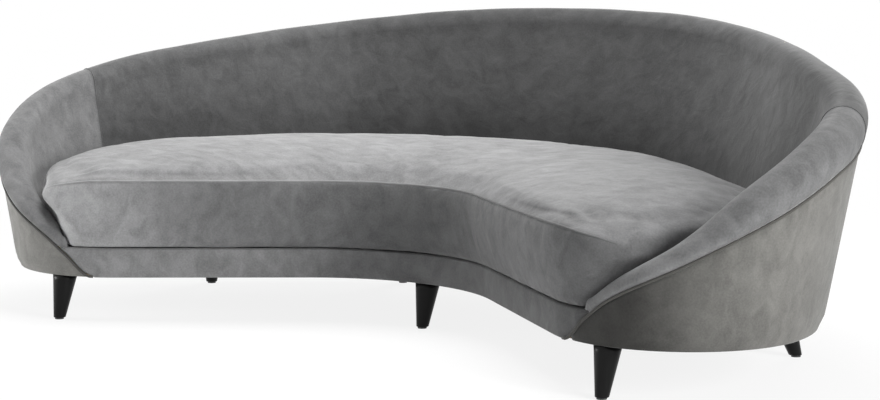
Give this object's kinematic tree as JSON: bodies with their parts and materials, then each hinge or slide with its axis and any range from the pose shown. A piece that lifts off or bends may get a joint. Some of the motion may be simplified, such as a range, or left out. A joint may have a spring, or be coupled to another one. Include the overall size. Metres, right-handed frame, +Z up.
{
  "type": "curved sofa",
  "caption": "Crescent-shaped upholstered sofa with a wrap-around padded back that sweeps down to the front corners, a loose crowned seat cushion and tapered legs.",
  "frame": {"origin": "on the floor, in the middle of the sofa's bounding box", "axes": "+Z up, the front faces -Y, +X is to the right seen from the front"},
  "size_m": [2.572, 1.2986, 0.82],
  "materials": {
    "velvet": "short-pile grey velvet",
    "seat_velvet": "short-pile grey velvet",
    "piping": "grey velvet cord",
    "foam": "upholstery foam",
    "timber": "sawn timber",
    "webbing": "woven webbing and lining cloth",
    "black_wood": "satin black lacquer",
    "steel": "zinc plated",
    "glide_plastic": "moulded"
  },
  "bodies": {
    "sofa": {"glide_front_left": "glide_plastic", "leg_front_left": "black_wood", "plate_front_left": "steel", "block_front_left": "timber", "glide_front_centre": "glide_plastic", "leg_front_centre": "black_wood", "plate_front_centre": "steel", "block_front_centre": "timber", "glide_front_right": "glide_plastic", "leg_front_right": "black_wood", "plate_front_right": "steel", "block_front_right": "timber", "glide_rear_left": "glide_plastic", "leg_rear_left": "black_wood", "plate_rear_left": "steel", "block_rear_left": "timber", "glide_rear_right": "glide_plastic", "leg_rear_right": "black_wood", "plate_rear_right": "steel", "block_rear_right": "timber", "glide_back_left": "glide_plastic", "leg_back_left": "black_wood", "plate_back_left": "steel", "block_back_left": "timber", "glide_back_right": "glide_plastic", "leg_back_right": "black_wood", "plate_back_right": "steel", "block_back_right": "timber", "front_rail": "timber", "rear_rail": "timber", "seat_board": "timber", "stretcher_left": "timber", "stretcher_right": "timber", "strap_1": "webbing", "strap_2": "webbing", "strap_3": "webbing", "strap_4": "webbing", "strap_5": "webbing", "strap_6": "webbing", "seat_deck": "webbing", "dust_cover": "webbing", "rib_left_1": "timber", "rib_right_1": "timber", "rib_left_2": "timber", "rib_right_2": "timber", "rib_left_3": "timber", "rib_right_3": "timber", "rib_left_4": "timber", "rib_right_4": "timber", "rib_centre": "timber", "top_rail": "timber", "back_web": "webbing", "back_foam": "foam", "inside_back_cover": "velvet", "outside_cover": "velvet", "front_band": "velvet", "welt_cord": "piping"},
    "cushion": {"cushion_cover": "seat_velvet", "cushion_core": "foam", "cushion_zip": "glide_plastic"}
  },
  "joints": [
    {"name": "cushion_lift", "type": "slide", "parent": "sofa", "child": "cushion", "axis": [0, 0, 1], "range_m": [0, 0.3]}
  ]
}
